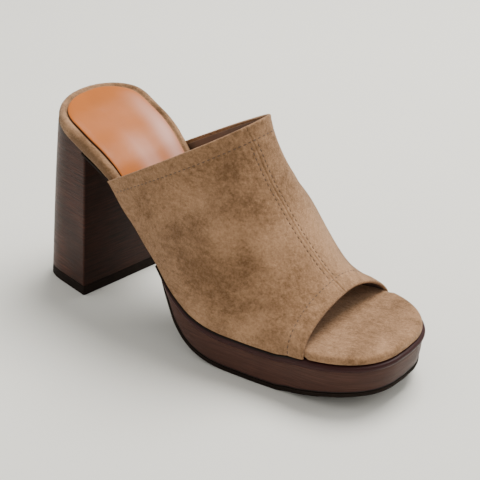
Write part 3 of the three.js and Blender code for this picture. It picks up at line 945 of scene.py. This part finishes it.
class MULE_OT_upper(bpy.types.Operator):
    """The suede upper with its folded edges, seam and creases"""

    bl_idname = "mule.upper"
    bl_label = "Upper"

    def execute(self, context):
        edge = FOLDED_EDGE[0] / DOWN[-1].mean()
        runs = edge + (1 - 2 * edge) * spans((0.1, 34), (0.9, 74), (1.0, 34))
        near_seam = (SEAM["turn"].min() - 0.06 + 1) / 2, (SEAM["turn"].max() + 0.06 + 1) / 2
        turns = -1 + 2 * spans((near_seam[0], 78), (near_seam[1], 54), (1.0, 92))

        def inner_depth(run, turn):
            down = read_grid(DOWN, run, turn)
            toe = read_grid(DOWN, np.ones_like(run), turn) - down
            folded = 1 - smoothstep(np.minimum(down, toe), *FOLDED_EDGE)
            thin = UPPER_WALL - size.lining - LINING_GAP
            return lerp(thin, UPPER_WALL, folded) + relief(run, turn)

        size = sizes()
        points, faces = wall(runs, turns, lambda run, turn: 0 * run, inner_depth)
        material = finish("suede", suede)
        piece = mesh_object("upper_suede", points, faces, material, "upper", sharp=60)
        set_attribute(piece, "nap_and_painted_light", nap_and_painted_light_at(points))
        return {"FINISHED"}


class MULE_OT_lining(bpy.types.Operator):
    """The dark lining inside the upper"""

    bl_idname = "mule.lining"
    bl_label = "Lining"

    def execute(self, context):
        edge = LINING_EDGE / DOWN[-1].mean()
        runs = edge + (1 - 2 * edge) * np.linspace(0, 1, 61)
        turns = np.linspace(-1, 1, 101)
        size = sizes()
        points, faces = wall(
            runs,
            turns,
            lambda run, turn: UPPER_WALL - size.lining + relief(run, turn),
            lambda run, turn: UPPER_WALL + relief(run, turn),
            arc_steps=3,
        )
        mesh_object("upper_lining", points, faces, finish("lining", lining))
        return {"FINISHED"}


def evenly(points, pitch):
    """Places along a line of points, one each pitch, with the directions there."""
    lengths = np.concatenate([[0], np.cumsum(np.linalg.norm(np.diff(points, axis=0), axis=1))])
    places = np.arange(pitch / 2, lengths[-1], pitch)
    at = np.stack([np.interp(places, lengths, points[:, k]) for k in range(3)], 1)
    ahead = np.stack([np.interp(places + pitch / 4, lengths, points[:, k]) for k in range(3)], 1)
    behind = np.stack([np.interp(places - pitch / 4, lengths, points[:, k]) for k in range(3)], 1)
    along = ahead - behind
    return at, along / np.linalg.norm(along, axis=1, keepdims=True), places / lengths[-1]


def stitch_row(run, turn):
    """One row of stitches along places given as runs and turns: small thread loops, half sunk in."""
    size = sizes()
    line = skin(run, turn)
    out = upper_normal(run, turn)
    centres, along, share = evenly(line, size.stitch_length + size.stitch_gap)
    which = np.clip((share * (len(run) - 1)).round().astype(int), 0, len(run) - 1)
    points, faces = [], []
    rings, sides = 5, 6
    for centre, direction, up in zip(centres, along, out[which]):
        across = np.cross(direction, up)
        start = len(points)
        for r in range(rings):
            t = math.pi * (r + 0.5) / rings
            radius = size.thread * math.sin(t) ** 0.5
            middle = centre - direction * math.cos(t) * size.stitch_length / 2
            for s in range(sides):
                a = 2 * math.pi * s / sides
                points.append(middle + across * radius * math.cos(a) + up * radius * math.sin(a))
        for r in range(rings - 1):
            for s in range(sides):
                a, b = start + r * sides + s, start + r * sides + (s + 1) % sides
                faces.append((a, b, b + sides, a + sides))
        faces.append(tuple(start + s for s in reversed(range(sides))))
        faces.append(tuple(start + (rings - 1) * sides + s for s in range(sides)))
    return points, faces


class MULE_OT_stitching(bpy.types.Operator):
    """Stitch rows at the collar, at the toe opening and on both sides of the seam"""

    bl_idname = "mule.stitching"
    bl_label = "Stitching"

    def execute(self, context):
        size = sizes()
        turns = np.linspace(-0.99, 0.99, 400)
        down = np.stack([[read_grid(DOWN, np.array(r), np.array(t)) for r in GRID_RUN] for t in turns])
        collar = np.array([np.interp(size.collar_row, row, GRID_RUN) for row in down])
        toe = np.array([np.interp(row[-1] - size.toe_row, row, GRID_RUN) for row in down])
        rows = {"collar_stitches": (collar, turns), "toe_stitches": (toe, turns)}
        middle = np.linspace(0, 1, 300)
        start = np.interp(seam_turn(0), turns, collar) + 0.02
        end = np.interp(seam_turn(1), turns, toe) - 0.02
        runs = lerp(start, end, middle)
        for name, side in (("seam_stitches_outer", -1), ("seam_stitches_inner", 1)):
            found = []
            for run in runs:
                row = np.array([read_grid(ROUND, np.array(run), np.array(t)) for t in GRID_TURN[60:180]])
                seam = read_grid(ROUND, np.array(run), seam_turn(np.array(run)))
                found.append(np.interp(seam + side * size.seam_row, row, GRID_TURN[60:180]))
            rows[name] = (runs, np.array(found))
        for name, (run, turn) in rows.items():
            points, faces = stitch_row(run, turn)
            mesh_object(name, points, faces, finish("thread", thread))
        return {"FINISHED"}


class MULE_OT_footbed(bpy.types.Operator):
    """The footbed with its rounded, suede-wrapped edge"""

    bl_idname = "mule.footbed"
    bl_label = "Footbed"

    def execute(self, context):
        rim = table(
            "place inset_mm level",
            (0.0, 1.4, 0.0),
            (0.1, 0.45, 0.07),
            (0.22, 0.0, 0.25),
            (0.36, 0.05, 0.5),
            (0.5, 0.5, 0.76),
            (0.62, 1.5, 0.94),
            (0.72, 2.7, 1.0),
            (0.82, 3.9, 1.0),
            (0.9, 4.9, 0.99),
            (1.0, 6.5, 0.98),
        )

        def recess(x, place):
            ending = 1 - smoothstep(x / LENGTH, *RECESS_ENDS)
            return SOCK_RECESS * smoothstep(place, *RECESS_STARTS) * ending

        heights = (footbed_under, footbed_top)
        points, faces = layer(rim, *heights, inset_at=footbed_inset, sunk=recess, steps=34)
        piece = mesh_object("footbed_wrap", points, faces, finish("suede", suede), "footbed")
        warp = np.array([noise.noise(Vector(p) * 60) for p in points.tolist()])
        x = points[:, 0]
        level = (points[:, 2] - footbed_under(x)) / (footbed_top(x) - footbed_under(x))
        # Painted shade: the wrapped rim's side darker than its top, towards the back, standing in for the
        # shade under the roll.
        side = 0.45 * (1 - smoothstep(level, 0.55, 0.98)) * (1 - smoothstep(x / LENGTH, 0.5, 0.7))
        set_attribute(piece, "nap_and_painted_light", np.clip(0.24 + 0.5 * warp, -0.2, 1) + side)
        return {"FINISHED"}


class MULE_OT_sock(bpy.types.Operator):
    """The smooth leather sock, left bare"""

    bl_idname = "mule.sock"
    bl_label = "Sock"

    def execute(self, context):
        edge = table(
            "place inset_mm level",
            (0.0, 0.1, 0.0),
            (0.12, 0.0, 0.4),
            (0.24, 0.25, 0.68),
            (0.36, 0.9, 0.9),
            (0.45, 3.0, 1.0),
            (0.6, 8.0, 0.84),
            (0.8, 15.0, 0.64),
            (1.0, 22.0, 0.5),
        )

        def under(x):
            return footbed_top(x) - SOCK_SINK

        def top(x):
            return footbed_top(x) + SOCK_PROUD

        def margin(x):
            return SOCK_MARGIN + SOCK_BACK_MARGIN * (1 - smoothstep(x, 0, SOCK_BACK_FADE))

        points, faces = layer(edge, under, top, end=LENGTH * SOCK_END, inset_at=margin, steps=30)
        # The rim shows a little wider on the inner side.
        x, y = points[:, 0], points[:, 1]
        outer_edge, inner_edge = outline(x, margin(x))
        inner_half = smoothstep(y, (outer_edge + inner_edge) / 2, inner_edge)
        along = SOCK_INNER_MARGIN * smoothstep(x, *SOCK_SHIFT_STARTS)
        corner = SOCK_CORNER_MARGIN * bell(x - SOCK_CORNER[0], SOCK_CORNER[1])
        points[:, 1] -= inner_half * (along + corner)
        material = finish("smooth_leather", smooth_leather)
        piece = mesh_object("sock_leather", points, faces, material, "sock")
        # Painted sheen: two paler bands along the sock, standing in for reflections of the lights; -1 is
        # painted shade on its cut edge.
        side = bell(inner_edge - SIDE_SHEEN_BAND[0] - points[:, 1], SIDE_SHEEN_BAND[1])
        side *= smoothstep(x, *SIDE_SHEEN_BAND_STARTS)
        middle = bell(points[:, 1] - outer_edge - MIDDLE_SHEEN_BAND[0], MIDDLE_SHEEN_BAND[1])
        middle *= smoothstep(x, *MIDDLE_SHEEN_BAND_STARTS)
        level = (points[:, 2] - under(x)) / (top(x) - under(x))
        # Painted shade: the cut edge is dark where the sock meets the rim.
        near_edge = (y - outer_edge < CUT_EDGE_SHADE_WIDTH) | (inner_edge - y < CUT_EDGE_SHADE_WIDTH)
        cut = near_edge & (level < CUT_EDGE_SHADE_LEVEL)
        set_attribute(piece, "painted_sheen_and_shade", np.where(cut, -1, 0.75 * side + 0.6 * middle))
        return {"FINISHED"}


class MULE_OT_platform(bpy.types.Operator):
    """The stacked platform with its rounded lip"""

    bl_idname = "mule.platform"
    bl_label = "Platform"

    def execute(self, context):
        side = table(
            "place inset_mm level",
            (0.0, 1.4, 0.0),
            (0.3, 0.6, 0.3),
            (0.62, 0.1, 0.74),
            (0.66, 0.1, 0.79),
            (0.72, -0.6, 0.83),
            (0.82, -1.0, 0.9),
            (0.92, -0.7, 0.96),
            (1.0, 0.3, 1.0),
        )

        def low(x):
            return sole_top(x) + CLEARANCE

        def high(x):
            return footbed_under(x) - CLEARANCE

        points, faces = layer(side, low, high, start=LENGTH * PLATFORM_START, steps=34)
        material = finish("platform_stack", platform_stack)
        piece = mesh_object("platform_stack", points, faces, material, "platform")
        x = points[:, 0]
        level = (points[:, 2] - low(x)) / np.maximum(high(x) - low(x), 1e-6)
        # 1 is the painted lip; 2 is a painted shade line at its top, standing in for the shade under the
        # upper, and the sole's black edge under it.
        over = smoothstep(level, *LIP_PAINTED_SHADE) * (1 - smoothstep(x / LENGTH, *LIP_PAINTED_SHADE_ENDS))
        edge = 1 - smoothstep(points[:, 2] - low(x), *SOLE_EDGE_SHOWS)
        set_attribute(piece, "lip", np.maximum(smoothstep(level, *LIP_STARTS) + over, 2 * edge))
        return {"FINISHED"}


class MULE_OT_outsole(bpy.types.Operator):
    """The thin rubber outsole"""

    bl_idname = "mule.outsole"
    bl_label = "Outsole"

    def execute(self, context):
        edge = table(
            "place inset_mm level",
            (0.0, 0.6, 0.0),
            (0.3, 0.1, 0.25),
            (0.6, 0.0, 0.6),
            (1.0, 0.15, 1.0),
        )

        def inset(x):
            """Nearly flush at the back, well in under the upper, a little in under the platform."""
            goes_in = smoothstep(x - COLLAR_START, *SOLE_TUCKS_IN)
            tucked = lerp(SOLE_INSET_BACK, inside_upper(x) + SOLE_INSET_ARCH, goes_in)
            return lerp(tucked, SOLE_INSET_PLATFORM, smoothstep(x / LENGTH, *SOLE_COMES_OUT))

        points, faces = layer(
            edge,
            sole_under,
            sole_top,
            start=heel_front(0) + CLEARANCE,
            back_at=lambda y: heel_front(y) + CLEARANCE,
            inset_at=inset,
            steps=8,
        )
        mesh_object("outsole_rubber", points, faces, finish("rubber", rubber), "outsole")
        return {"FINISHED"}


def heel_outline(share, height, shrink=0.0):
    """One outline of the heel at a share of its height, with its front corners rounded."""
    corner = sizes().breast_corner
    outer_half = HEEL_TOP_WIDTH / 2 + HEEL_FLARE_OUTER * (1 - share) - shrink
    inner_half = HEEL_TOP_WIDTH / 2 + HEEL_FLARE_INNER * (1 - share) - shrink
    rounding = [lerp(a, b, share) for a, b in zip(HEEL_BACK_ROUND_BOTTOM, HEEL_BACK_ROUND_TOP)]
    back = HEEL_BACK_TOP * share + shrink
    front = HEEL_DEPTH - shrink
    ease = 1 - np.cos(np.linspace(0, math.pi / 2, 41))
    side = back + (front - corner - back) * ease
    forward = np.concatenate([side, front - corner + corner * spans((1.0, 6))[1:]])
    close = round_end(forward - back, rounding, 0)
    t = np.clip((forward - (front - corner)) / corner, 0, 1)
    cut = corner * (1 - np.sqrt(1 - t * t))
    rows = []
    for half, sign in ((outer_half, -1), (inner_half, 1)):
        x, y = from_heel(forward, sign * (half * close - cut))
        rows.append(np.stack([x, y, height(x)], 1).tolist())
    return rows


class MULE_OT_heel(bpy.types.Operator):
    """The stacked block heel and its rubber lift"""

    bl_idname = "mule.heel"
    bl_label = "Heel"

    def execute(self, context):
        low = LIFT_HEIGHT + CLEARANCE
        total = float(footbed_under(HEEL_DEPTH)) - CLEARANCE

        def between(share):
            return lambda x: lerp(low, footbed_under(x) - CLEARANCE, share)

        shares = np.linspace(0, 1, 30)
        outlines = [heel_outline(lerp(low / total, 1, share), between(share)) for share in shares]
        points, faces = stack(outlines)
        material = finish("heel_stack", stacked)
        piece = mesh_object("heel_stack", points, faces, material, "heel_block", sharp=35)
        # Painted shade: the heel's front face is marked to be darker, standing in for the shade under the
        # arch.
        breast_in_painted_shade = points[:, 0] > heel_front(points[:, 1]) - BREAST_DEPTH
        set_attribute(piece, "breast", BREAST_SHADE * breast_in_painted_shade)

        outlines = []
        for share, shrink in ((0.0, LIFT_BEVEL), (0.03, 0.3 * LIFT_BEVEL), (0.1, 0.0), (1.0, 0.0)):
            height = share * LIFT_HEIGHT
            outlines.append(heel_outline(height / total, lambda x, height=height: height + 0 * x, shrink))
        points, faces = stack(outlines)
        material = finish("rubber", rubber)
        mesh_object("lift_rubber", points, faces, material, "top_lift", sharp=35)
        return {"FINISHED"}


# The stage. Each softbox has its place, size, power and tint.
FLOOR_REACH = 6.0
WORLD_COLOUR = (1.0, 0.99, 0.97, 1)
WORLD_STRENGTH = 0.62
LIGHTS_AIM = (0, 0, 0.05)
SOFTBOXES = (
    ("softbox_key", (0.02, 0.7, 1.4), 1.0, 36, (1, 0.985, 0.96)),
    ("softbox_side", (1.1, 0.9, 1.0), 0.8, 4.5, (1, 0.985, 0.97)),
    ("softbox_fill", (-1.2, -1.0, 0.8), 1.0, 3.5, (1, 0.99, 0.98)),
)
CAMERA_PLACE = (0.3913, -0.4498, 0.3963)
CAMERA_AIM = (0.0085, 0.0, 0.0539)
CAMERA_LENS = 94.5
CAMERA_SENSOR = 36
CAMERA_NEAR = 0.05


def area_light(name, place, aim, size, power, tint):
    light = bpy.data.lights.new(name, "AREA")
    light.shape = "DISK"
    light.size = size
    light.energy = power
    light.color = tint
    lamp = bpy.data.objects.new(name, light)
    lamp.location = place
    lamp.rotation_euler = (Vector(aim) - Vector(place)).to_track_quat("-Z", "Y").to_euler()
    bpy.context.scene.collection.objects.link(lamp)


class MULE_OT_stage(bpy.types.Operator):
    """The studio floor, the soft lights and the camera"""

    bl_idname = "mule.stage"
    bl_label = "Stage"

    def execute(self, context):
        mesh = bpy.data.meshes.new("studio_floor")
        corners = [(x * FLOOR_REACH, y * FLOOR_REACH, 0) for x, y in ((-1, -1), (1, -1), (1, 1), (-1, 1))]
        mesh.from_pydata(corners, [], [(0, 1, 2, 3)])
        mesh.materials.append(finish("floor", floor))
        ground = bpy.data.objects.new("studio_floor", mesh)
        context.scene.collection.objects.link(ground)

        world = context.scene.world or bpy.data.worlds.new("World")
        context.scene.world = world
        world.use_nodes = True
        background = world.node_tree.nodes["Background"].inputs
        background["Color"].default_value = WORLD_COLOUR
        background["Strength"].default_value = WORLD_STRENGTH
        for name, place, size, power, tint in SOFTBOXES:
            area_light(name, place, LIGHTS_AIM, size, power, tint)

        lens = bpy.data.cameras.new("camera")
        lens.lens = CAMERA_LENS
        lens.sensor_width = CAMERA_SENSOR
        lens.clip_start = CAMERA_NEAR
        camera = bpy.data.objects.new("camera", lens)
        camera.location = CAMERA_PLACE
        camera.rotation_euler = (Vector(CAMERA_AIM) - camera.location).to_track_quat("-Z", "Y").to_euler()
        context.scene.collection.objects.link(camera)
        context.scene.camera = camera
        return {"FINISHED"}


OPERATORS = (
    MULE_OT_stage,
    MULE_OT_outsole,
    MULE_OT_platform,
    MULE_OT_heel,
    MULE_OT_footbed,
    MULE_OT_sock,
    MULE_OT_lining,
    MULE_OT_upper,
    MULE_OT_stitching,
)


class MULE_PT_panel(bpy.types.Panel):
    """Lists the shoe's pieces"""

    bl_idname = "MULE_PT_panel"
    bl_label = "Mule"
    bl_space_type = "VIEW_3D"
    bl_region_type = "UI"
    bl_category = "Mule"

    def draw(self, context):
        for operator in OPERATORS:
            self.layout.operator(operator.bl_idname)
        for group in (context.scene.mule_sizes, context.scene.mule_colours):
            for name in group.__annotations__:
                self.layout.prop(group, name)


CLASSES = (MuleSizes, MuleColours, *OPERATORS, MULE_PT_panel)


def register():
    for cls in CLASSES:
        bpy.utils.register_class(cls)
    bpy.types.Scene.mule_sizes = PointerProperty(type=MuleSizes)
    bpy.types.Scene.mule_colours = PointerProperty(type=MuleColours)


def unregister():
    del bpy.types.Scene.mule_colours
    del bpy.types.Scene.mule_sizes
    for cls in reversed(CLASSES):
        bpy.utils.unregister_class(cls)


def main():
    register()
    bpy.ops.mule.stage()
    bpy.ops.mule.outsole()
    bpy.ops.mule.platform()
    bpy.ops.mule.heel()
    bpy.ops.mule.footbed()
    bpy.ops.mule.sock()
    bpy.ops.mule.lining()
    bpy.ops.mule.upper()
    bpy.ops.mule.stitching()


if __name__ == "__main__":
    main()
